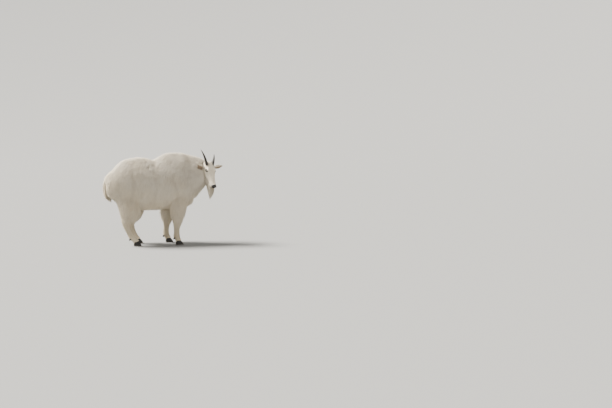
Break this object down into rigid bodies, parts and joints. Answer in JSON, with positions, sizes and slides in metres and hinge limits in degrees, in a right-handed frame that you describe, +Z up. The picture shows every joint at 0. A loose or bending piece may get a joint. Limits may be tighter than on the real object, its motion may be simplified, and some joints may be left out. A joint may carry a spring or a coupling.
{
  "type": "mountain goat",
  "caption": "Life-size standing mountain goat in a long pale coat, its horned and bearded head turned to its right.",
  "frame": {"origin": "on the floor under the middle of the whole goat's box", "axes": "+X points ahead of the goat, +Y to its left, +Z up"},
  "size_m": [1.2418, 0.386, 0.9906],
  "materials": {
    "coat": "long creamy white hair over wool",
    "horn": "black ringed horn with a dull sheen",
    "hoof": "worn black hoof horn",
    "nose": "damp black skin",
    "eye": "wet dark brown eye"
  },
  "bodies": {
    "root": {"left_eye": "eye", "left_horn": "horn", "left_ear": "coat", "right_eye": "eye", "right_horn": "horn", "right_ear": "coat", "nose": "nose", "head": "coat", "tail": "coat", "left_foreleg_upper": "coat", "left_foreleg_dew_claw_left": "hoof", "left_foreleg_dew_claw_right": "hoof", "left_foreleg_lower": "coat", "left_foreleg_claw_left": "hoof", "left_foreleg_claw_right": "hoof", "left_hind_leg_upper": "coat", "left_hind_leg_dew_claw_left": "hoof", "left_hind_leg_dew_claw_right": "hoof", "left_hind_leg_lower": "coat", "left_hind_leg_claw_left": "hoof", "left_hind_leg_claw_right": "hoof", "right_foreleg_upper": "coat", "right_foreleg_dew_claw_left": "hoof", "right_foreleg_dew_claw_right": "hoof", "right_foreleg_lower": "coat", "right_foreleg_claw_left": "hoof", "right_foreleg_claw_right": "hoof", "right_hind_leg_upper": "coat", "right_hind_leg_dew_claw_left": "hoof", "right_hind_leg_dew_claw_right": "hoof", "right_hind_leg_lower": "coat", "right_hind_leg_claw_left": "hoof", "right_hind_leg_claw_right": "hoof", "neck": "coat", "torso": "coat"}
  },
  "joints": []
}
